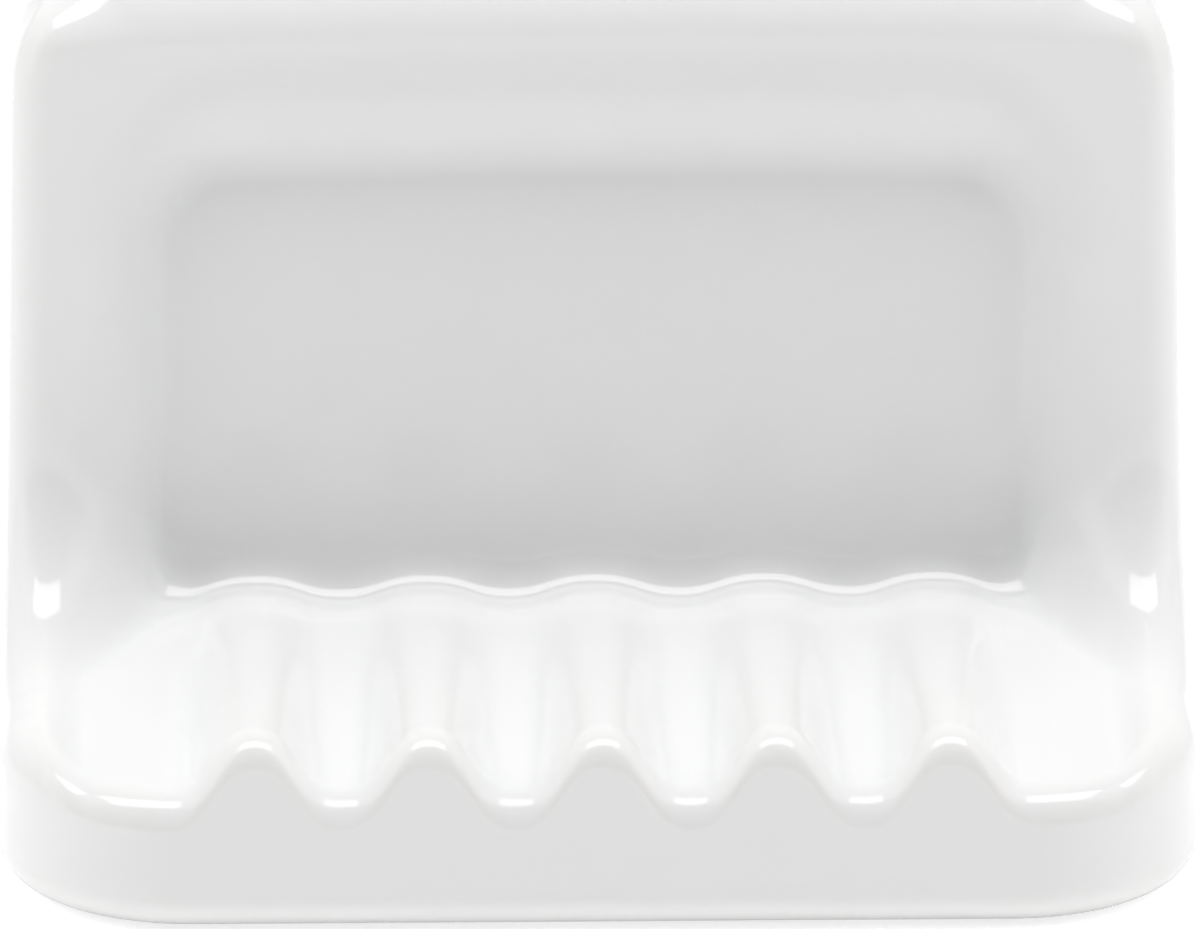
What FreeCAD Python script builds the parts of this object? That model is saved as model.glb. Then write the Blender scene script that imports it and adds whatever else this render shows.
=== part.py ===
import FreeCAD, Part

import math
import os

import Sketcher

# Wall-hung ceramic soap dish on a concealed steel clip.
#
# The dish is one glazed casting: a tall flange with a rolled rim and a scooped back, and a tray whose
# draining ridges run out over a wavy front lip. A dovetail pocket in its back slides down over a stamped
# clip, which two screws and two expanding anchors hold to the wall.
#
# The wall is the plane Y = 0, the room is towards -Y and +Z is up. The origin lies on the wall, midway
# between the two screws. Levels of the casting are measured up from its foot.

SIZES = (
    # the casting's outer form
    ("flange_width", 165.0),
    ("flange_top_width", 159.0),
    ("flange_height", 120.0),
    ("top_crown", 2.0),
    ("flange_depth", 19.0),
    ("projection", 80.0),
    ("rim_round", 6.0),
    ("brow_radius", 13.0),
    ("top_corner_radius", 18.0),
    ("front_corner_radius", 27.0),
    ("base_round", 6.0),
    ("foot_radius", 6.0),
    ("lip_radius", 5.0),
    # the scooped back
    ("recess_depth", 8.0),
    ("recess_flat_width", 120.0),
    ("recess_rim_width", 7.0),
    ("shoulder_height", 34.0),
    # the tray's floor and its side rims
    ("floor_back_level", 25.0),
    ("floor_lip_level", 19.0),
    ("rim_back_level", 25.0),
    ("rim_lip_level", 22.0),
    ("tray_rim_width", 5.5),
    ("basin_side_width", 7.0),
    ("arm_radius", 26.0),
    ("junction_radius", 4.0),
    # the draining ridges
    ("ridge_pitch", 23.7),
    ("ridge_height", 9.2),
    ("ridge_back_height", 1.5),
    # the hollow under the tray, open to the wall
    ("hollow_side_wall", 11.0),
    ("hollow_front_wall", 20.0),
    ("hollow_floor_level", 7.0),
    ("hollow_back_level", 19.5),
    ("hollow_front_level", 11.5),
    ("hollow_mouth_depth", 12.0),
    # the stamped clip and the pocket that slides over it
    ("clip_level", 77.0),
    ("clip_height", 40.0),
    ("clip_foot_width", 30.0),
    ("clip_crown_width", 25.0),
    ("clip_sheet", 1.2),
    ("wing_reach", 3.2),
    ("wing_stand", 3.6),
    ("slide_gap", 0.3),
    ("pocket_headroom", 0.6),
    ("entry_margin", 4.0),
    # the screws
    ("screw_spacing", 22.0),
    ("screw_hole", 4.6),
    ("screw_diameter", 4.2),
    ("screw_reach", 35.0),
    ("screw_point", 6.0),
    ("head_diameter", 8.0),
    ("head_height", 2.5),
    ("head_crown_height", 1.1),
    ("head_crown_diameter", 5.6),
    ("drive_span", 4.4),
    ("drive_slot", 1.1),
    ("drive_depth", 1.5),
    # the anchors
    ("anchor_diameter", 6.0),
    ("anchor_length", 30.0),
    ("anchor_taper", 4.0),
    ("anchor_tip_diameter", 5.0),
    ("anchor_slit", 1.0),
    ("anchor_neck", 9.0),
    ("anchor_gap", 0.05),
    # how far a cut runs past what it cuts
    ("overrun", 1.0),
)
RIDGE_COUNT = 5
STEPS_PER_RIDGE = 8
SIDE_STEPS = 6
ROUND_STEPS = 6
END_ARC_SHARE = 0.55
# the scooped back's S-shaped slope: its fall across the dish, and where its handles stand from top to flat
SCOOP_POWER = 1.7
SCOOP_HANDLE_SHARES = (0.45, 0.25)

doc = FreeCAD.newDocument("soap_dish")
sheet = doc.addObject("Spreadsheet::Sheet", "sizes")
for row, (alias, value) in enumerate(SIZES, 1):
    sheet.set(f"A{row}", alias)
    sheet.set(f"B{row}", str(value))
    sheet.setAlias(f"B{row}", alias)
doc.recompute()


def size(alias):
    return float(getattr(sheet, alias))


def bind(item, prop, expression):
    """Ties a property to the sheet. A size's name stands in braces in the expression."""
    item.setExpression(prop, expression.replace("{", "sizes.").replace("}", ""))


# Bodies and their sketches


def new_body(name):
    return doc.addObject("PartDesign::Body", name)


def new_sketch(body, name, role, offset=None):
    """A sketch on one of the body's own planes, moved along that plane's normal."""
    sketch = body.newObject("Sketcher::SketchObject", name)
    support = next(f for f in body.Origin.OriginFeatures if f.Role == role)
    sketch.AttachmentSupport = [(support, "")]
    sketch.MapMode = "FlatFace"
    if offset:
        bind(sketch, "AttachmentOffset.Base.z", offset)
    return sketch


def tie_point(sketch, edge, end, across, up):
    """Ties a point of the sketch to two expressions, measured from the sketch's origin."""
    for kind, axis, expression in (("DistanceX", -2, across), ("DistanceY", -1, up)):
        if expression == "0":
            sketch.addConstraint(Sketcher.Constraint("PointOnObject", edge, end, axis))
        else:
            place = sketch.addConstraint(Sketcher.Constraint(kind, -1, 1, edge, end, 1.0))
            bind(sketch, f"Constraints[{place}]", expression)


def outline(sketch, corners):
    """A closed outline of straight edges. It starts as a unit ring, and its corners are tied to sizes."""
    count = len(corners)
    turns = [2 * math.pi * n / count for n in range(count + 1)]
    ring = [FreeCAD.Vector(math.cos(turn), math.sin(turn), 0) for turn in turns]
    for n in range(count):
        sketch.addGeometry(Part.LineSegment(ring[n], ring[n + 1]))
    for n in range(count):
        sketch.addConstraint(Sketcher.Constraint("Coincident", n, 2, (n + 1) % count, 1))
    for n, (across, up) in enumerate(corners):
        tie_point(sketch, n, 1, across, up)
    return sketch


def both_sides(corners):
    """The right-hand corners of an outline, then the same ones on the left, in order round it."""
    return corners + [(f"-({across})", up) for across, up in reversed(corners)]


# The casting's skin: straight-ruled strips through sections from one side to the other


def ease(value, start, end):
    """Runs smoothly from 0 to 1 as the value goes from start to end."""
    share = min(max((value - start) / (end - start), 0.0), 1.0)
    return (1.0 - math.cos(math.pi * share)) / 2.0


def corner_drop(across, radius):
    """How far a rounded corner of the outline has fallen back at this distance from the middle."""
    past = max(across - (size("flange_width") / 2 - radius), 0.0)
    return radius - math.sqrt(max(radius ** 2 - past ** 2, 0.0))


def mix(first, second, share):
    return first + (second - first) * share


def section_places():
    """The sections' places across the dish, closest where its rim rounds over."""
    half_width = size("flange_width") / 2
    ridged = size("ridge_pitch") * RIDGE_COUNT / 2
    rim = half_width - size("rim_round")
    steps = STEPS_PER_RIDGE * RIDGE_COUNT // 2
    half = [ridged * n / steps for n in range(steps)]
    half += [mix(ridged, rim, n / SIDE_STEPS) for n in range(SIDE_STEPS)]
    turns = [math.pi / 2 * n / ROUND_STEPS for n in range(ROUND_STEPS + 1)]
    half += [rim + size("rim_round") * math.sin(turn) for turn in turns]
    return [-place for place in reversed(half[1:])] + half


def rounded_corner(corner, first, second, radius):
    """Start, middle and end of the arc that rounds the corner between two directions leaving it."""
    half_angle = first.getAngle(second) / 2
    reach = radius / math.tan(half_angle)
    inward = (first + second).normalize()
    middle = corner + inward * (radius / math.sin(half_angle) - radius)
    return corner + first * reach, middle, corner + second * reach


def skin_section(place):
    """The closed profile of the casting at one place across, from behind the wall round by the front.

    Its plane leans in towards the top, as the casting does. What lies behind the wall is trimmed later.
    """
    across = abs(place)
    half_width = size("flange_width") / 2
    rim_round = size("rim_round")
    fall = corner_drop(across, rim_round)
    rim_inner = half_width - size("recess_rim_width")
    scoop_width = rim_inner - size("recess_flat_width") / 2
    scoop_share = min(max((rim_inner - across) / scoop_width, 0.0), 1.0)
    side = (1 - scoop_share ** 2) ** SCOOP_POWER
    tray_inner = half_width - size("tray_rim_width")
    basin = ease(across, tray_inner - size("basin_side_width"), tray_inner)
    ridged = size("ridge_pitch") * RIDGE_COUNT / 2
    ridge = (1 + math.cos(2 * math.pi * across / size("ridge_pitch"))) / 2 if across < ridged else 0.0

    crown_drop = size("top_crown") * (across / half_width) ** 2
    top = size("flange_height") - crown_drop - corner_drop(across, size("top_corner_radius"))
    foot = corner_drop(across, size("base_round"))
    rim_front = size("flange_depth") - fall
    wall_front = rim_front - size("recess_depth") * (1 - side)
    front = size("projection") - corner_drop(across, size("front_corner_radius"))
    floor_back = size("floor_back_level") + size("ridge_back_height") * ridge
    floor_lip = size("floor_lip_level") + size("ridge_height") * ridge
    back_level = mix(floor_back, size("rim_back_level"), basin) - fall
    lip_level = mix(floor_lip, size("rim_lip_level"), basin) - fall
    shoulder = size("flange_height") - size("shoulder_height")
    arc_share = mix(1.0, END_ARC_SHARE, fall / rim_round)

    lean = (1 - size("flange_top_width") / size("flange_width")) / size("flange_height")

    def at(out, up):
        return FreeCAD.Vector(place * (1 - lean * up), -out, up)

    behind = -size("overrun")
    upward = (at(behind, top) - at(behind, foot)).normalize()
    forward = (at(front, lip_level) - at(wall_front, back_level)).normalize()
    bend = mix(size("junction_radius"), size("arm_radius"), side)
    cove = rounded_corner(at(wall_front, back_level), upward, forward, bend)
    lip_round = mix(size("lip_radius"), rim_round, basin)
    lip = rounded_corner(at(front, lip_level), forward * -1, upward * -1, lip_round * arc_share)
    outward = FreeCAD.Vector(0, -1, 0)
    toe = rounded_corner(at(front, foot), upward, outward * -1, size("foot_radius") * arc_share)
    brow = rounded_corner(at(rim_front, top), outward * -1, upward * -1, size("brow_radius"))
    shoulder_foot = at(wall_front, shoulder)
    scoop_height = brow[2].z - shoulder
    top_handle, flat_handle = [scoop_height * share for share in SCOOP_HANDLE_SHARES]
    shoulder_line = Part.BezierCurve()
    shoulder_line.setPoles([
        brow[2],
        brow[2] - upward * top_handle,
        shoulder_foot + upward * flat_handle,
        shoulder_foot,
    ])
    pieces = [
        Part.LineSegment(at(behind, foot), at(behind, top)),
        Part.LineSegment(at(behind, top), brow[0]),
        Part.Arc(*brow),
        shoulder_line,
        Part.LineSegment(shoulder_foot, cove[0]),
        Part.Arc(*cove),
        Part.LineSegment(cove[2], lip[0]),
        Part.Arc(*lip),
        Part.LineSegment(lip[2], toe[0]),
        Part.Arc(*toe),
        Part.LineSegment(toe[2], at(behind, foot)),
    ]
    return Part.Wire([piece.toShape() for piece in pieces])


skin = doc.addObject("Part::Feature", "dish_skin")
skin.Shape = Part.makeLoft([skin_section(place) for place in section_places()], True, True)
bind(skin, "Placement.Base.z", "-{clip_level}")

# The hollow under the tray

hollow = new_body("tray_hollow")
bind(hollow, "Placement.Base.z", "-{clip_level}")
hollow_sketch = outline(new_sketch(hollow, "hollow_profile", "YZ_Plane"), [
    ("{overrun}", "{hollow_floor_level}"),
    ("-({projection} - {hollow_front_wall})", "{hollow_floor_level}"),
    ("-({projection} - {hollow_front_wall})", "{hollow_front_level}"),
    ("-{hollow_mouth_depth}", "{hollow_back_level}"),
    ("{overrun}", "{hollow_back_level}"),
])
hollow_pad = hollow.newObject("PartDesign::Pad", "hollow_pad")
hollow_pad.Profile = hollow_sketch
hollow_pad.Midplane = True
bind(hollow_pad, "Length", "{flange_width} - 2 * {hollow_side_wall}")

# The dovetail pocket that seats on the clip, the wider entry below it, and the flat back

WING_ANGLE = "atan({wing_stand} / {wing_reach})"
WING_TIP_STAND = f"{{wing_stand}} + {{clip_sheet}} * cos({WING_ANGLE})"
POCKET_DEPTH = f"({WING_TIP_STAND} + {{pocket_headroom}})"
TAPER = "(({clip_foot_width} - {clip_crown_width}) / {clip_height})"


def dovetail_corners(width):
    """The pocket's section: the wings' outer faces moved out by the sliding gap."""
    mouth = f"({width}) / 2 + {{slide_gap}} / sin({WING_ANGLE})"
    slope = "({wing_reach} / {wing_stand})"
    return both_sides([
        (f"{mouth} - {slope} * {{overrun}}", "{overrun}"),
        (f"{mouth} + {slope} * {POCKET_DEPTH}", f"-{POCKET_DEPTH}"),
    ])


pocket = new_body("dovetail_pocket")
pocket_low = new_sketch(pocket, "pocket_low", "XY_Plane", "-({clip_height} / 2 + {overrun})")
outline(pocket_low, dovetail_corners(f"{{clip_foot_width}} + {TAPER} * {{overrun}}"))
pocket_high = new_sketch(pocket, "pocket_high", "XY_Plane", "{clip_height} / 2 + {slide_gap}")
outline(pocket_high, dovetail_corners(f"{{clip_crown_width}} - {TAPER} * {{slide_gap}}"))
pocket_loft = pocket.newObject("PartDesign::AdditiveLoft", "pocket_loft")
pocket_loft.Profile = pocket_low
pocket_loft.Sections = [pocket_high]

entry = new_body("clip_entry")
entry_side = "({clip_foot_width} / 2 + {wing_reach} + {entry_margin})"
entry_sketch = new_sketch(entry, "entry_outline", "XY_Plane", "{hollow_floor_level} - {clip_level}")
outline(entry_sketch, both_sides([(entry_side, "{overrun}"), (entry_side, f"-{POCKET_DEPTH}")]))
entry_pad = entry.newObject("PartDesign::Pad", "entry_pad")
entry_pad.Profile = entry_sketch
bind(entry_pad, "Length", "{clip_level} - {hollow_floor_level} - {clip_height} / 2")

trim = new_body("wall_trim")
trim_side = "{flange_width} / 2 + {overrun}"
trim_sketch = new_sketch(trim, "trim_outline", "XY_Plane", "-({clip_level} + {overrun})")
outline(trim_sketch, both_sides([(trim_side, "2 * {overrun}"), (trim_side, "0")]))
trim_pad = trim.newObject("PartDesign::Pad", "trim_pad")
trim_pad.Profile = trim_sketch
bind(trim_pad, "Length", "{flange_height} + 2 * {overrun}")

back_cuts = doc.addObject("Part::MultiFuse", "back_cuts")
back_cuts.Shapes = [hollow, pocket, entry, trim]
dish = doc.addObject("Part::Cut", "dish_body")
dish.Base = skin
dish.Tool = back_cuts

# The stamped clip: a flat plate with two flared wings, narrower at its crown


def clip_corners(width):
    """The clip's section: the plate's back on the wall, and each wing one sheet thick."""
    half = f"{width} / 2"
    tip = f"{half} + {{wing_reach}}"
    return both_sides([
        (half, "0"),
        (tip, "-{wing_stand}"),
        (f"{tip} - {{clip_sheet}} * sin({WING_ANGLE})", f"-({WING_TIP_STAND})"),
        (f"{half} - {{clip_sheet}} * tan({WING_ANGLE} / 2)", "-{clip_sheet}"),
    ])


clip = new_body("wall_clip")
clip_low = new_sketch(clip, "clip_low", "XY_Plane", "-{clip_height} / 2")
outline(clip_low, clip_corners("{clip_foot_width}"))
clip_high = new_sketch(clip, "clip_high", "XY_Plane", "{clip_height} / 2")
outline(clip_high, clip_corners("{clip_crown_width}"))
clip_loft = clip.newObject("PartDesign::AdditiveLoft", "clip_loft")
clip_loft.Profile = clip_low
clip_loft.Sections = [clip_high]
clip_loft.Ruled = True
hole_sketch = new_sketch(clip, "screw_holes", "XZ_Plane")
for n, level in enumerate(("{screw_spacing} / 2", "-{screw_spacing} / 2")):
    hole_sketch.addGeometry(Part.Circle(FreeCAD.Vector(0, 0, 0), FreeCAD.Vector(0, 0, 1), 1.0))
    tie_point(hole_sketch, n, 3, "0", level)
    diameter = hole_sketch.addConstraint(Sketcher.Constraint("Diameter", n, 1.0))
    bind(hole_sketch, f"Constraints[{diameter}]", "{screw_hole}")
holes = clip.newObject("PartDesign::Pocket", "clip_holes")
holes.Profile = hole_sketch
holes.Type = 1
holes.Midplane = True

# One screw on its own axis, then its pair: the upper one mirrored below


def pair(name, single):
    """The upper piece and its mirror image below, as one group of two solids."""
    lower = doc.addObject("Part::Mirroring", name + "_lower")
    lower.Source = single
    lower.Normal = FreeCAD.Vector(0, 0, 1)
    group = doc.addObject("Part::Compound", name)
    group.Links = [single, lower]
    return group


screw = new_body("clip_screw")
bind(screw, "Placement.Base.z", "{screw_spacing} / 2")
screw_sketch = outline(new_sketch(screw, "screw_profile", "YZ_Plane"), [
    ("-({clip_sheet} + {head_height})", "0"),
    ("-({clip_sheet} + {head_height})", "{head_crown_diameter} / 2"),
    ("-({clip_sheet} + {head_height} - {head_crown_height})", "{head_diameter} / 2"),
    ("-{clip_sheet}", "{head_diameter} / 2"),
    ("-{clip_sheet}", "{screw_diameter} / 2"),
    ("{screw_reach} - {screw_point}", "{screw_diameter} / 2"),
    ("{screw_reach}", "0"),
])
turned = screw.newObject("PartDesign::Revolution", "screw_turned")
turned.Profile = screw_sketch
turned.ReferenceAxis = (screw_sketch, ["H_Axis"])
turned.Angle = 360.0
drive_sketch = new_sketch(screw, "drive_cross", "XZ_Plane", "{clip_sheet} + {head_height}")
arm = "{drive_span} / 2"
slot = "{drive_slot} / 2"
outline(drive_sketch, both_sides([
    (slot, f"-{arm}"),
    (slot, f"-{slot}"),
    (arm, f"-{slot}"),
    (arm, slot),
    (slot, slot),
    (slot, arm),
]))
drive = screw.newObject("PartDesign::Pocket", "drive_recess")
drive.Profile = drive_sketch
bind(drive, "Length", "{drive_depth}")
screws = pair("clip_screws", screw)

# One expanding anchor, slit from its neck to its tip, then its pair

anchor = new_body("wall_anchor")
bind(anchor, "Placement.Base.z", "{screw_spacing} / 2")
bore = "({screw_diameter} / 2 + {anchor_gap})"
anchor_sketch = outline(new_sketch(anchor, "anchor_profile", "YZ_Plane"), [
    ("0", bore),
    ("0", "{anchor_diameter} / 2"),
    ("{anchor_length} - {anchor_taper}", "{anchor_diameter} / 2"),
    ("{anchor_length}", "{anchor_tip_diameter} / 2"),
    ("{anchor_length}", bore),
])
sleeve = anchor.newObject("PartDesign::Revolution", "anchor_sleeve")
sleeve.Profile = anchor_sketch
sleeve.ReferenceAxis = (anchor_sketch, ["H_Axis"])
sleeve.Angle = 360.0
slit_sketch = outline(new_sketch(anchor, "slit_outline", "YZ_Plane"), [
    ("{anchor_neck}", "-{anchor_slit} / 2"),
    ("{anchor_length} + {overrun}", "-{anchor_slit} / 2"),
    ("{anchor_length} + {overrun}", "{anchor_slit} / 2"),
    ("{anchor_neck}", "{anchor_slit} / 2"),
])
slit = anchor.newObject("PartDesign::Pocket", "anchor_slits")
slit.Profile = slit_sketch
slit.Type = 1
slit.Midplane = True
anchors = pair("wall_anchors", anchor)

doc.recompute()

failed = [item.Name for item in doc.Objects if {"Invalid", "Error"} & set(item.State)]
if failed:
    raise SystemExit("failed to build: " + ", ".join(failed))

os.makedirs("parts", exist_ok=True)
for node in (dish, clip, screws, anchors):
    shape = node.Shape
    if shape.isNull() or not shape.isValid():
        raise SystemExit("bad shape: " + node.Label)
    print(node.Label, len(shape.Solids), "solids", round(shape.Volume), "mm3", shape.BoundBox)
    shape.exportStep(f"parts/{node.Label}.step")
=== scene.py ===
import math

import bpy
import numpy as np
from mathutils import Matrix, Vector


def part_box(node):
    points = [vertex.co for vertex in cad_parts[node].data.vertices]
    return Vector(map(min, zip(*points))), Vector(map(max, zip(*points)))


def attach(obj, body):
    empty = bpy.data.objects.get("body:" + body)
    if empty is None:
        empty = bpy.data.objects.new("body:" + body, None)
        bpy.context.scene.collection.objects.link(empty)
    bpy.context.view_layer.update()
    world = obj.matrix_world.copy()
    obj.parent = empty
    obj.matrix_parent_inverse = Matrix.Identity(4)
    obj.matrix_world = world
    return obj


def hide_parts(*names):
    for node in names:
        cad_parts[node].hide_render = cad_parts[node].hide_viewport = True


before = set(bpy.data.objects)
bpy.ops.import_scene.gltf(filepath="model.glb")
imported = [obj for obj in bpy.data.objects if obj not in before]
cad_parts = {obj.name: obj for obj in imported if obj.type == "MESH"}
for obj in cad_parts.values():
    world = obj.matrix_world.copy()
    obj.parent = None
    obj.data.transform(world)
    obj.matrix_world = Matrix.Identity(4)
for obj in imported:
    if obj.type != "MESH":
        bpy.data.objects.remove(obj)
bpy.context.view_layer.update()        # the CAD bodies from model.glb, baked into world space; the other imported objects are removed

mm = 0.001
scene = bpy.context.scene
print("frame loaded:", ", ".join(sorted(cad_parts)))


# small helpers

def toLinear(hexColour):  # sRGB hex to the linear colour that shaders take
    parts = [int(hexColour[i:i + 2], 16) / 255 for i in (1, 3, 5)]
    return tuple(c / 12.92 if c <= 0.04045 else ((c + 0.055) / 1.055) ** 2.4 for c in parts) + (1.0,)


def addNode(tree, kind, settings=None, links=None):  # settings are properties or socket values
    node = tree.nodes.new(kind)
    for key, value in (settings or {}).items():
        if isinstance(key, str) and hasattr(node, key):
            setattr(node, key, value)
        else:
            node.inputs[key].default_value = value
    for key, source in (links or {}).items():
        tree.links.new(source, node.inputs[key])
    return node


def newMaterial(name):  # an empty material with its output node
    material = bpy.data.materials.new(name)
    material.use_nodes = True
    material.node_tree.nodes.clear()
    return material, material.node_tree, addNode(material.node_tree, "ShaderNodeOutputMaterial")


def meshObject(name, points, faces, smooth=True):  # points in metres
    mesh = bpy.data.meshes.new(name)
    mesh.from_pydata(points, [], faces)
    mesh.validate()
    mesh.polygons.foreach_set("use_smooth", [smooth] * len(mesh.polygons))
    mesh.update()
    thing = bpy.data.objects.new(name, mesh)
    scene.collection.objects.link(thing)
    return thing


def pointMark(thing, name, values):  # one number per point, for the shaders
    mark = thing.data.attributes.new(name, "FLOAT", "POINT")
    mark.data.foreach_set("value", np.asarray(values, np.float32))


# distance fields, negative inside the piece, in millimetres

def roundMax(a, b, radius):  # the outside corner of two faces, rounded
    return np.minimum(np.maximum(a, b), -radius) + np.hypot(
        np.maximum(a + radius, 0), np.maximum(b + radius, 0))


def roundMin(a, b, radius):  # the inside corner of two faces, coved
    return -roundMax(-a, -b, radius)


def ramp(value, start, end):  # smooth 0 to 1
    t = np.clip((value - start) / (end - start), 0, 1)
    return t * t * (3 - 2 * t)


def slopeOf(field, points, reach=0.05):  # the field's gradient at the points
    grad = np.empty_like(points)
    for axis in range(3):
        step = np.zeros(3)
        step[axis] = reach
        grad[:, axis] = (field(*(points + step).T) - field(*(points - step).T)) / (2 * reach)
    return grad


def bendOf(field, points, reach):  # the field's bending: above 0 on edges, below 0 in hollows
    total = -6 * field(*points.T)
    for axis in range(3):
        step = np.zeros(3)
        step[axis] = reach
        total = total + field(*(points + step).T) + field(*(points - step).T)
    return total / reach ** 2


def skinOf(field, low, high, cell):  # one closed quad skin where the field is zero
    axes = [np.arange(a, b + cell, cell) for a, b in zip(low, high)]
    values = field(*np.meshgrid(*axes, indexing="ij"))
    inside = values < 0
    corners = np.array([(i, j, k) for i in (0, 1) for j in (0, 1) for k in (0, 1)])
    size = np.array(values.shape) - 1
    count = sum(inside[i:i + size[0], j:j + size[1], k:k + size[2]].astype(np.int8) for i, j, k in corners)
    cells = np.argwhere((count > 0) & (count < 8))
    total = np.zeros((len(cells), 3))
    hits = np.zeros(len(cells))
    for a in corners:
        for axis in range(3):
            if a[axis]:
                continue
            b = a.copy()
            b[axis] = 1
            va = values[tuple((cells + a).T)]
            vb = values[tuple((cells + b).T)]
            cross = (va < 0) != (vb < 0)
            t = np.where(cross, va / np.where(cross, va - vb, 1), 0)
            total += np.where(cross[:, None], a + t[:, None] * (b - a), 0)
            hits += cross
    points = np.array(low) + (cells + total / hits[:, None]) * cell
    number = -np.ones(size, int)
    number[tuple(cells.T)] = np.arange(len(cells))
    quads = []
    for axis in range(3):
        u, v = (axis + 1) % 3, (axis + 2) % 3
        ahead = np.eye(3, dtype=int)
        first = inside[tuple(slice(0, -1) if n == axis else slice(None) for n in range(3))]
        second = inside[tuple(slice(1, None) if n == axis else slice(None) for n in range(3))]
        edges = np.argwhere(first != second)
        within = (edges[:, u] > 0) & (edges[:, v] > 0) & (edges[:, u] < size[u]) & (edges[:, v] < size[v])
        edges = edges[within]
        ring = [number[tuple((edges - du * ahead[u] - dv * ahead[v]).T)]
                for du, dv in ((1, 1), (0, 1), (0, 0), (1, 0))]
        ring = np.stack(ring, 1)
        outward = first[tuple(edges.T)]
        ring[~outward] = ring[~outward][:, ::-1]
        quads.append(ring)
    quads = np.concatenate(quads)
    ends = np.concatenate([quads[:, [n, (n + 1) % 4]] for n in range(4)])
    links = np.bincount(ends[:, 0], minlength=len(points))
    for _ in range(3):  # even out the quads along the skin, then settle back on it
        middle = np.stack([
            np.bincount(ends[:, 0], points[ends[:, 1], n], len(points)) for n in range(3)], 1)
        points = 0.5 * points + 0.5 * middle / links[:, None]
        for _ in range(2):
            grad = slopeOf(field, points)
            move = field(*points.T)[:, None] * grad / np.maximum((grad ** 2).sum(1), 0.05)[:, None]
            points -= np.clip(move, -cell, cell)
    return points, quads


# the dish: one glazed casting, measured across, out from the wall and up from the foot

dishLow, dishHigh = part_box("dish_body")
dish = {
    "halfWidth": 82.5, "topHalfWidth": 79.5,   # it leans in towards its top
    "height": (dishHigh.z - dishLow.z) / mm,
    "projection": -dishLow.y / mm,
    "foot": dishLow.z / mm,              # the foot's level below the screws
    "rimDepth": 19.0,                    # the rim's crest, out from the wall
    "topCrown": 2.0, "topCorner": 18.0, "frontCorner": 27.0, "rimRound": 6.0, "browRound": 13.0,
    "footRound": 6.0, "lipRound": 5.0, "wallEdge": 1.2,
    "recessDepth": 8.0, "recessRim": 7.0, "recessFlat": 60.0, "recessTop": 34.0, "scoopPower": 1.9,
    "recessCorner": 0.5,                 # the flat's corner round, as a share of the slope's width
    "floorBack": 25.0, "floorLip": 19.0, "rimRise": 3.0, "rimInner": 77.0, "basinEdge": 70.0,
    "armRadius": 26.0, "junctionRadius": 6.0, "armStart": 54.0, "armEnd": 78.0, "browBlend": 8.0,
    "ridgePitch": 23.7, "ridgeCount": 5, "ridgeBack": 1.5, "ridgeFront": 9.2,
    "ridgeFullness": 0.45,               # above 0 broadens crests and valleys past a cosine
    "noseStartShare": 0.5, "noseEndShare": 0.8,   # where along the projection the ridges become noses
    "cell": 0.8,                         # the skin's sampling step
    "glazeStart": 0.3, "glazeEnd": 1.6,  # the glaze fades out over this distance from the wall
    "bareStart": 0.1, "bareEnd": 0.6,    # and over this one from the hollows' walls
    "bendReach": 1.5, "poolGain": 2.0, "thinGain": 3.0,   # how bending shows in the glaze
}
hollow = {"side": 71.5, "front": 60.0, "floor": 7.0, "roofBack": 19.5, "roofFront": 11.5, "mouth": 12.0,
          "corner": 5.0, "round": 1.5}
pocket = {"level": 77.0, "halfHeight": 20.0, "halfFoot": 15.0, "halfCrown": 12.5, "wingReach": 3.2,
          "wingStand": 3.6, "sheet": 1.2, "gap": 0.3, "headroom": 0.6, "entryMargin": 4.0, "round": 0.5}


def topLevel(x):  # the flange's top edge, a little higher in the middle
    return dish["height"] - dish["topCrown"] * (x / dish["halfWidth"]) ** 2


def scoopShare(share):  # 0 on the rim to 1 on the flat, steepest past half way
    share = np.clip(share, 0, 1)
    return 1 - (1 - share ** 2) ** dish["scoopPower"]


def backWall(x, up):  # the scooped back's distance from the wall
    rimInner = dish["halfWidth"] - dish["recessRim"]
    beside = (np.abs(x) - dish["recessFlat"]) / (rimInner - dish["recessFlat"])
    above = (up - topLevel(x) + dish["recessTop"]) / (dish["recessTop"] - dish["browRound"])
    away = roundMax(beside, above, dish["recessCorner"])   # 0 round the flat, 1 on the rim
    return dish["rimDepth"] - dish["recessDepth"] * scoopShare(1 - away)


def trayFloor(x, out):  # the floor's level with its ridges and side rims, and its slope across
    back = dish["rimDepth"] - dish["recessDepth"]
    along = (out - back) / (dish["projection"] - back)
    base = dish["floorBack"] + (dish["floorLip"] - dish["floorBack"]) * along
    turn = 2 * math.pi * x / dish["ridgePitch"]
    ridged = np.abs(x) < dish["ridgePitch"] * dish["ridgeCount"] / 2
    height = dish["ridgeBack"] + (dish["ridgeFront"] - dish["ridgeBack"]) * np.clip(along, 0, 1)
    crest = np.cos(turn)
    full = dish["ridgeFullness"]
    wave = np.where(ridged, (1 + crest + full * (np.sin(math.pi / 2 * crest) - crest)) / 2, 0)
    steep = 1 + full * (math.pi / 2 * np.cos(math.pi / 2 * crest) - 1)
    slope = np.where(ridged, -height * np.sin(turn) * steep * math.pi / dish["ridgePitch"], 0)
    rim = dish["rimRise"] * np.clip(along, 0, 1) * ramp(np.abs(x), dish["basinEdge"], dish["rimInner"])
    return base + height * wave + rim, slope


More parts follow.
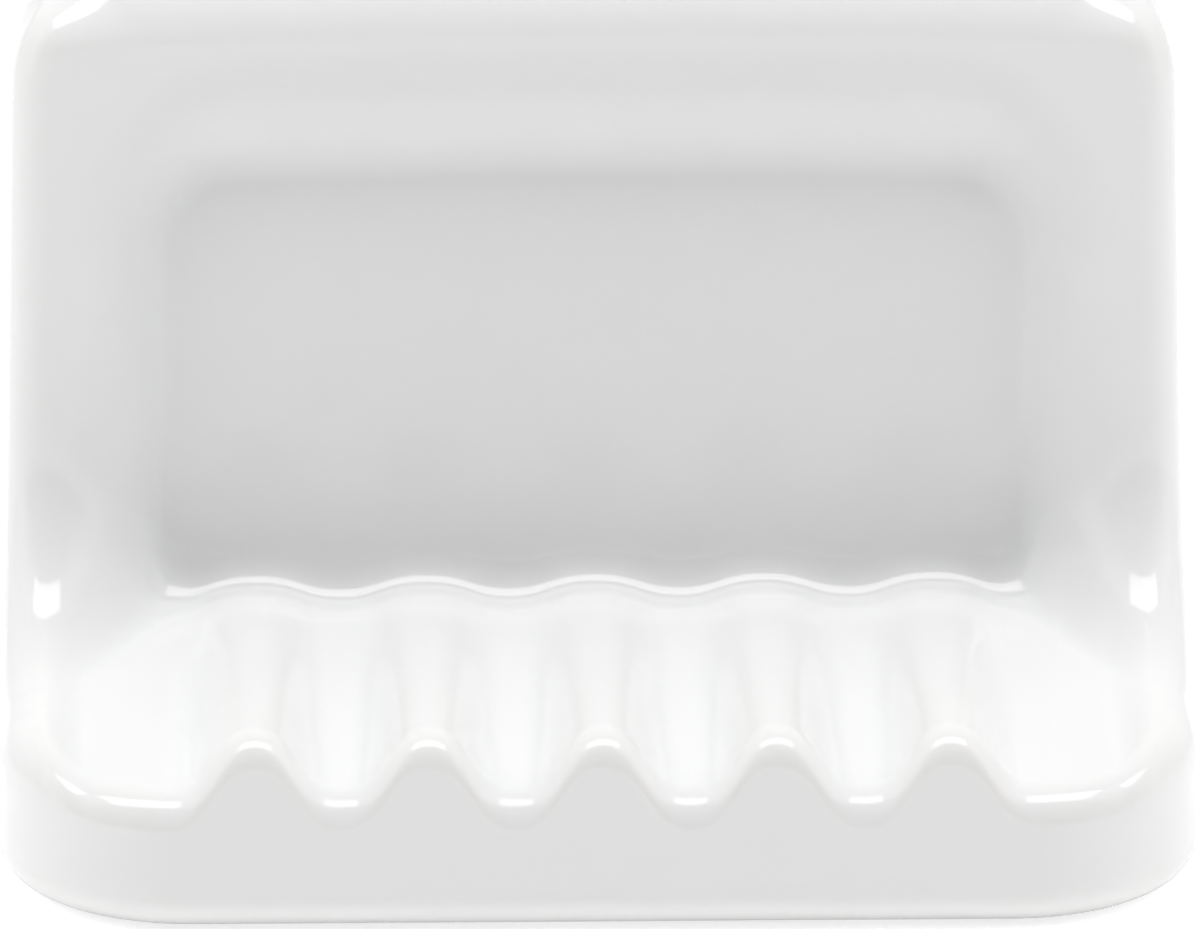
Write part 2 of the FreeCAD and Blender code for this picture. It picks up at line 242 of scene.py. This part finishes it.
def hollowField(x, out, up):  # everything that is open at the back, negative in the air
    across = np.abs(x)
    roofDrop = (hollow["roofBack"] - hollow["roofFront"]) / (hollow["front"] - hollow["mouth"])
    roof = hollow["roofBack"] - roofDrop * np.maximum(out - hollow["mouth"], 0)
    plan = roundMax(across - hollow["side"], out - hollow["front"], hollow["corner"])
    tray = roundMax(plan, roundMax(hollow["floor"] - up, up - roof, hollow["round"]), hollow["round"])
    lean = pocket["wingReach"] / pocket["wingStand"]
    normal = math.hypot(1, lean)
    depth = pocket["wingStand"] + pocket["sheet"] * lean / normal + pocket["headroom"]
    low = pocket["level"] - pocket["halfHeight"]
    high = pocket["level"] + pocket["halfHeight"]
    entryHalf = pocket["halfFoot"] + pocket["wingReach"] + pocket["entryMargin"]
    entry = roundMax(roundMax(across - entryHalf, out - depth, pocket["round"]),
                     roundMax(hollow["floor"] - up, up - low, pocket["round"]), pocket["round"])
    rise = (up - low) / (high - low)
    half = pocket["halfFoot"] + (pocket["halfCrown"] - pocket["halfFoot"]) * rise
    wing = (across - half - lean * out) / normal - pocket["gap"]
    seat = roundMax(roundMax(wing, out - depth, pocket["round"]),
                    roundMax(low - 1 - up, up - high - pocket["gap"], pocket["round"]), pocket["round"])
    return np.minimum(tray, np.minimum(entry, seat))


def dishField(across, out, up):  # the whole casting with its back hollows taken out
    lean = (1 - dish["topHalfWidth"] / dish["halfWidth"]) / dish["height"]
    x = across / (1 - lean * up)
    side = np.abs(x) - dish["halfWidth"]
    top = up - topLevel(x)
    outline = roundMax(side, top, dish["topCorner"])
    outline = roundMax(outline, out - dish["projection"], dish["frontCorner"])
    outline = roundMax(outline, -up, dish["footRound"])
    level, slope = trayFloor(x, out)
    arm = ramp(np.abs(x), dish["armStart"], dish["armEnd"])
    bend = dish["junctionRadius"] + (dish["armRadius"] - dish["junctionRadius"]) * arm
    nose = ramp(out / dish["projection"], dish["noseStartShare"], dish["noseEndShare"])
    slope = slope * (1 - nose)   # the noses stay round
    scoop = roundMin(out - backWall(x, up), (up - level) / np.sqrt(1 + slope * slope), bend)
    rim = dish["rimRound"] + (dish["browRound"] - dish["rimRound"]) * ramp(
        top - side, -dish["browBlend"], dish["browBlend"])
    beside = ramp(np.abs(x), dish["basinEdge"], dish["rimInner"])
    lip = dish["lipRound"] + (dish["rimRound"] - dish["lipRound"]) * beside
    clay = roundMax(outline, scoop, np.where(out > dish["projection"] / 2, lip, rim))
    clay = roundMax(clay, -out, dish["wallEdge"])
    return roundMax(clay, -hollowField(across, out, up), pocket["round"])


margin = 2 * dish["cell"]
dishPoints, dishQuads = skinOf(
    dishField,
    (-dish["halfWidth"] - margin, -margin, -margin),
    (dish["halfWidth"] + margin, dish["projection"] + margin, dish["height"] + margin),
    dish["cell"])
place = np.stack([dishPoints[:, 0], -dishPoints[:, 1], dishPoints[:, 2] + dish["foot"]], 1) * mm
dishSkin = meshObject("glazed_dish", place.tolist(), dishQuads[:, ::-1].tolist())
openAir = hollowField(*dishPoints.T)
bending = bendOf(dishField, dishPoints, dish["bendReach"])
atWall = 1 - ramp(dishPoints[:, 1], dish["glazeStart"], dish["glazeEnd"])
inHollow = 1 - ramp(openAir, dish["bareStart"], dish["bareEnd"])
pointMark(dishSkin, "bare", np.maximum(atWall, inHollow))
pointMark(dishSkin, "pooled", np.clip(-bending * dish["poolGain"], 0, 1))
pointMark(dishSkin, "thin", np.clip(bending * dish["thinGain"], 0, 1))
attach(dishSkin, "dish")
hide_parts("dish_body")
print("dish skin:", len(dishPoints), "points")

# the fixings: along is into the wall, from the wall plane

screwLow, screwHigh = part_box("clip_screws")
screw = {
    "headRadius": (screwHigh.x - screwLow.x) / 2 / mm,
    "headTop": screwLow.y / mm, "seat": -1.2, "headRound": 1.0, "edge": 0.1,
    "reach": screwHigh.y / mm, "point": 6.0, "radius": 2.1, "core": 1.5, "pitch": 1.6,
    "crestShare": 0.12, "rootShare": 0.8,    # the thread's flank, between its crest and its root
    "sink": 0.3, "neckEdge": 0.05,           # the shank starts inside the head
    "driveSpan": 2.2, "driveSlot": 0.55, "driveDepth": 1.5, "driveTaper": 0.14, "driveEdge": 0.12,
    "cell": 0.14,
}
screwLift = (screwHigh.z - screwLow.z) / 2 / mm - screw["headRadius"]   # the upper screw's level
anchor = {"radius": 3.0, "bore": 2.15, "length": 30.0, "neck": 9.0, "ribPitch": 3.0, "ribHeight": 0.4,
          "taper": 4.0, "tipRadius": 2.5, "slit": 0.5, "round": 0.2, "cell": 0.16}
fixing = {"margin": 0.3, "bendReach": 0.25, "rootShadeGain": 0.15}   # room round the skin, and the strength of the painted shade in the thread and rib roots


def screwField(x, along, up):  # a pan head with a cross recess over a threaded shank
    radius = np.hypot(x, up)
    head = roundMax(radius - screw["headRadius"], screw["headTop"] - along, screw["headRound"])
    head = roundMax(head, along - screw["seat"], screw["edge"])
    past = screw["driveTaper"] * (along - screw["headTop"])
    cross = np.minimum(np.maximum(np.abs(x) - screw["driveSlot"], np.abs(up) - screw["driveSpan"]),
                       np.maximum(np.abs(up) - screw["driveSlot"], np.abs(x) - screw["driveSpan"])) + past
    drive = roundMax(cross, along - screw["headTop"] - screw["driveDepth"], screw["edge"])
    head = roundMax(head, -drive, screw["driveEdge"])
    turn = along / screw["pitch"] - np.arctan2(up, x) / (2 * math.pi)
    flank = 2 * np.abs(turn - np.floor(turn) - 0.5)                     # 0 on the crest, 1 at the root
    thread = 1 - ramp(flank, screw["crestShare"], screw["rootShare"])
    girth = screw["core"] + (screw["radius"] - screw["core"]) * thread
    girth = girth * np.clip((screw["reach"] - along) / screw["point"], 0, 1)
    shank = roundMax((radius - girth) * 0.8, screw["seat"] - screw["sink"] - along, screw["neckEdge"])
    return np.minimum(head, shank)


def anchorField(x, along, up):  # a sleeve with saw-tooth ribs, split from its neck to its tip
    radius = np.hypot(x, up)
    tooth = (along - anchor["neck"]) / anchor["ribPitch"]
    tooth = np.where(along > anchor["neck"], tooth - np.floor(tooth), 0)
    girth = anchor["radius"] - anchor["ribHeight"] * tooth
    tip = anchor["radius"] - (anchor["radius"] - anchor["tipRadius"]) * np.clip(
        (along - anchor["length"] + anchor["taper"]) / anchor["taper"], 0, 1)
    ends = np.maximum(-along, along - anchor["length"])
    sleeve = roundMax(radius - np.minimum(girth, tip), ends, anchor["round"])
    sleeve = roundMax(sleeve, anchor["bore"] - radius, anchor["round"] / 2)
    slit = np.maximum(np.abs(up) - anchor["slit"], anchor["neck"] - along)
    return roundMax(sleeve, -slit, anchor["round"])


def fixingPair(name, field, low, high, cell, node):  # two alike, one above the other
    points, quads = skinOf(field, low, high, cell)
    upper = points + np.array([0, 0, screwLift])
    lower = points - np.array([0, 0, screwLift])
    faces = np.concatenate([quads, quads + len(points)])
    thing = meshObject(name, (np.concatenate([upper, lower]) * mm).tolist(), faces.tolist())
    # painted shade: a mask that darkens the roots between threads and ribs, from the skin's bending
    rootShadeMask = np.clip(-bendOf(field, points, fixing["bendReach"]) * fixing["rootShadeGain"], 0, 1)
    pointMark(thing, "hollow", np.tile(rootShadeMask, 2))
    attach(thing, "wall_fixing")
    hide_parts(node)
    print(name + ":", 2 * len(points), "points")
    return thing


head = screw["headRadius"] + 2 * screw["cell"]
screwPair = fixingPair(
    "threaded_screws", screwField,
    (-head, screw["headTop"] - fixing["margin"], -head), (head, screw["reach"] + fixing["margin"], head),
    screw["cell"], "clip_screws")
girth = anchor["radius"] + 2 * anchor["cell"]
anchorPair = fixingPair(
    "ribbed_anchors", anchorField,
    (-girth, -fixing["margin"], -girth), (girth, anchor["length"] + fixing["margin"], girth),
    anchor["cell"], "wall_anchors")


# materials: pattern scales are one over the pattern's size in metres

def vitreousChinaGlazed():
    # slip-cast vitreous china under a clear gloss glaze: white and wet-looking, a breath creamier where
    # the glaze draws thin on edges, a breath whiter where it pools, and bare sandy bisque at the wall
    material, tree, output = newMaterial("vitreousChinaGlazed")
    where = addNode(tree, "ShaderNodeTexCoord").outputs["Object"]
    cloud = addNode(tree, "ShaderNodeTexNoise", {"Scale": 1 / 0.06, "Detail": 3.0}, {"Vector": where})
    white = addNode(tree, "ShaderNodeMix", {
        "data_type": "RGBA", 6: toLinear("#F6F6F6"), 7: toLinear("#F2F2F3")}, {0: cloud.outputs[0]})
    pooled = addNode(tree, "ShaderNodeAttribute", {"attribute_name": "pooled"})
    pooledShare = addNode(tree, "ShaderNodeMath", {
        "operation": "MULTIPLY", 1: 0.5}, {0: pooled.outputs["Fac"]})
    thick = addNode(tree, "ShaderNodeMix", {"data_type": "RGBA", 7: toLinear("#FBFCFD")},
                    {0: pooledShare.outputs[0], 6: white.outputs[2]})
    thin = addNode(tree, "ShaderNodeAttribute", {"attribute_name": "thin"})
    thinShare = addNode(tree, "ShaderNodeMath", {"operation": "MULTIPLY", 1: 0.2}, {0: thin.outputs["Fac"]})
    glaze = addNode(tree, "ShaderNodeMix", {"data_type": "RGBA", 7: toLinear("#F4F1EA")},
                    {0: thinShare.outputs[0], 6: thick.outputs[2]})
    grain = addNode(tree, "ShaderNodeTexNoise", {
        "Scale": 1 / 0.0009, "Detail": 6.0}, {"Vector": where})   # drawn coarser than real bisque grain
    bisque = addNode(tree, "ShaderNodeMix", {
        "data_type": "RGBA", 6: toLinear("#DDD3C4"), 7: toLinear("#C6B9A6")}, {0: grain.outputs[0]})
    bare = addNode(tree, "ShaderNodeAttribute", {"attribute_name": "bare"})
    colour = addNode(tree, "ShaderNodeMix", {"data_type": "RGBA"},
                     {0: bare.outputs["Fac"], 6: glaze.outputs[2], 7: bisque.outputs[2]})
    gloss = addNode(tree, "ShaderNodeMapRange", {3: 0.07, 4: 0.11}, {0: cloud.outputs[0]})
    rough = addNode(tree, "ShaderNodeMix", {3: 0.85}, {0: bare.outputs["Fac"], 2: gloss.outputs[0]})
    peel = addNode(tree, "ShaderNodeTexNoise", {
        "Scale": 1 / 0.006, "Detail": 1.0}, {"Vector": where})   # the glaze's orange peel
    relief = addNode(tree, "ShaderNodeMix", {}, {
        0: bare.outputs["Fac"], 2: peel.outputs[0], 3: grain.outputs[0]})
    bump = addNode(tree, "ShaderNodeBump", {
        "Strength": 0.35, "Distance": 0.04 * mm}, {"Height": relief.outputs[0]})
    shader = addNode(tree, "ShaderNodeBsdfPrincipled", {"IOR": 1.52}, {
        "Base Color": colour.outputs[2], "Roughness": rough.outputs[0], "Normal": bump.outputs[0]})
    tree.links.new(shader.outputs[0], output.inputs[0])
    return material


def zincPlatedStampedSteel(name, lay):
    # cold-rolled steel, stamped and bright zinc plated: pale grey with a soft blue cast, faint drawn lines
    # along the lay and duller patches where fingers and clay dust have been
    material, tree, output = newMaterial(name)
    where = addNode(tree, "ShaderNodeTexCoord").outputs["Object"]
    drawn = addNode(tree, "ShaderNodeMapping", {"Scale": lay}, {"Vector": where})
    lines = addNode(tree, "ShaderNodeTexNoise", {
        "Scale": 1 / 0.0006, "Detail": 4.0}, {"Vector": drawn.outputs[0]})   # drawn coarser than real lines
    patch = addNode(tree, "ShaderNodeTexNoise", {"Scale": 1 / 0.007, "Detail": 4.0}, {"Vector": where})
    plating = addNode(tree, "ShaderNodeMix", {
        "data_type": "RGBA", 6: toLinear("#C9CDD1"), 7: toLinear("#B5B6B1")}, {0: patch.outputs[0]})
    # painted shade: the thread roots are mixed towards a dark grey
    rootShadeNode = addNode(tree, "ShaderNodeAttribute", {"attribute_name": "hollow"})
    colour = addNode(tree, "ShaderNodeMix", {"data_type": "RGBA", 7: toLinear("#6F6C66")},
                     {0: rootShadeNode.outputs["Fac"], 6: plating.outputs[2]})
    dull = addNode(tree, "ShaderNodeMapRange", {3: 0.22, 4: 0.42}, {0: patch.outputs[0]})
    bump = addNode(tree, "ShaderNodeBump", {
        "Strength": 0.25, "Distance": 0.02 * mm}, {"Height": lines.outputs[0]})
    shader = addNode(tree, "ShaderNodeBsdfPrincipled", {"Metallic": 1.0}, {
        "Base Color": colour.outputs[2], "Roughness": dull.outputs[0], "Normal": bump.outputs[0]})
    tree.links.new(shader.outputs[0], output.inputs[0])
    return material


def naturalNylonMoulded():
    # injection-moulded natural nylon: milky off-white, slightly waxy, with cloudy marks along its flow
    material, tree, output = newMaterial("naturalNylonMoulded")
    where = addNode(tree, "ShaderNodeTexCoord").outputs["Object"]
    along = addNode(tree, "ShaderNodeMapping", {"Scale": (1, 0.25, 1)}, {"Vector": where})
    flow = addNode(tree, "ShaderNodeTexNoise", {
        "Scale": 1 / 0.002, "Detail": 5.0}, {"Vector": along.outputs[0]})
    milk = addNode(tree, "ShaderNodeMix", {
        "data_type": "RGBA", 6: toLinear("#E4DFD2"), 7: toLinear("#CFC8B6")}, {0: flow.outputs[0]})
    # painted shade: the rib roots are mixed partway towards a darker tan
    rootShadeNode = addNode(tree, "ShaderNodeAttribute", {"attribute_name": "hollow"})
    rootShare = addNode(tree, "ShaderNodeMath", {"operation": "MULTIPLY", 1: 0.4}, {0: rootShadeNode.outputs["Fac"]})
    colour = addNode(tree, "ShaderNodeMix", {"data_type": "RGBA", 7: toLinear("#A89F8B")},
                     {0: rootShare.outputs[0], 6: milk.outputs[2]})
    waxy = addNode(tree, "ShaderNodeMapRange", {3: 0.38, 4: 0.55}, {0: flow.outputs[0]})
    bump = addNode(tree, "ShaderNodeBump", {
        "Strength": 0.2, "Distance": 0.03 * mm}, {"Height": flow.outputs[0]})
    shader = addNode(tree, "ShaderNodeBsdfPrincipled", {"IOR": 1.53}, {
        "Base Color": colour.outputs[2], "Roughness": waxy.outputs[0], "Normal": bump.outputs[0]})
    tree.links.new(shader.outputs[0], output.inputs[0])
    return material


dishSkin.data.materials.append(vitreousChinaGlazed())
screwPair.data.materials.append(zincPlatedStampedSteel("zincPlatedScrewSteel", (1, 0.2, 1)))
anchorPair.data.materials.append(naturalNylonMoulded())
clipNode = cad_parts["wall_clip"]
clipNode.data.materials.clear()
clipNode.data.materials.append(zincPlatedStampedSteel("zincPlatedStampedSteel", (1, 1, 0.04)))
print("materials made")

# floor, light and camera

studio = {
    "front": 0.0, "round": 0.80,               # the camera's side of the tent is darker
    "darkFrom": -0.95, "darkTo": 0.25,
    "overhead": 6.0, "sides": 0.85,            # lamp powers in watts
    "floorGlow": 0.3, "floorBounce": 0.21,     # the floor's own light: to the camera alone, and to all
    "floorHalf": 3.0, "floorGap": 0.2 * mm,    # metres
}
floorLevel = dishLow.z - studio["floorGap"]
floorCorners = [(x * studio["floorHalf"], y * studio["floorHalf"], floorLevel)
                for x, y in ((-1, -1), (1, -1), (1, 1), (-1, 1))]
floor = meshObject("floor", floorCorners, [(0, 1, 2, 3)], False)
floorPaint, floorTree, floorOut = newMaterial("floorPaint")
seen = addNode(floorTree, "ShaderNodeLightPath").outputs["Is Camera Ray"]
glow = addNode(floorTree, "ShaderNodeMath", {
    "operation": "MULTIPLY_ADD", 1: studio["floorGlow"], 2: studio["floorBounce"]}, {0: seen})
floorShader = addNode(floorTree, "ShaderNodeBsdfPrincipled", {
    "Base Color": toLinear("#F8F8F8"), "Roughness": 0.8, "Emission Color": toLinear("#FFFFFF")},
    {"Emission Strength": glow.outputs[0]})
floorTree.links.new(floorShader.outputs[0], floorOut.inputs[0])
floor.data.materials.append(floorPaint)

tent = bpy.data.worlds.new("tent")
scene.world = tent
tent.use_nodes = True
air = tent.node_tree
heading = addNode(air, "ShaderNodeTexCoord").outputs["Generated"]
facing = addNode(air, "ShaderNodeSeparateXYZ", links={0: heading})
shade = addNode(air, "ShaderNodeMapRange", {
    "interpolation_type": "SMOOTHSTEP", 1: studio["darkFrom"], 2: studio["darkTo"],
    3: studio["front"], 4: studio["round"]}, {0: facing.outputs["Y"]})
air.links.new(shade.outputs[0], air.nodes["Background"].inputs["Strength"])
air.nodes["Background"].inputs["Color"].default_value = toLinear("#FFFFFF")


def softBox(name, at, aim, width, height, power):  # an area lamp pointed at a place
    lamp = bpy.data.lights.new(name, "AREA")
    lamp.shape = "RECTANGLE"
    lamp.size = width
    lamp.size_y = height
    lamp.energy = power
    thing = bpy.data.objects.new(name, lamp)
    thing.location = at
    thing.rotation_euler = (Vector(aim) - Vector(at)).to_track_quat("-Z", "Y").to_euler()
    scene.collection.objects.link(thing)
    return thing


softBox("overheadLamp", (0, -0.22, 0.85), (0, -0.06, -0.03), 1.3, 0.36, studio["overhead"])
softBox("leftLamp", (-0.9, -0.15, 0.35), (0, -0.04, -0.03), 0.5, 1.1, studio["sides"])
softBox("rightLamp", (0.9, -0.15, 0.35), (0, -0.04, -0.03), 0.5, 1.1, studio["sides"])

view = {   # fitted to the outline and the ridges, in degrees, metres and lens millimetres
    "elevation": 18.3, "turn": -1.11, "distance": 1.995, "aim": (0.0004, -0.0355, -0.0248),
    "lens": 436.6, "sensor": 36.0, "clipEnd": 20.0,
}
lift = math.radians(view["elevation"])
turn = math.radians(view["turn"])
backward = Vector((math.sin(turn) * math.cos(lift), -math.cos(turn) * math.cos(lift), math.sin(lift)))
lens = bpy.data.cameras.new("photoCamera")
lens.lens = view["lens"]
lens.sensor_width = view["sensor"]
lens.clip_end = view["clipEnd"]
camera = bpy.data.objects.new("photoCamera", lens)
camera.location = Vector(view["aim"]) + backward * view["distance"]
camera.rotation_euler = (-backward).to_track_quat("-Z", "Y").to_euler()
scene.collection.objects.link(camera)
scene.camera = camera

scene.view_settings.view_transform = "Standard"
print("scene ready")
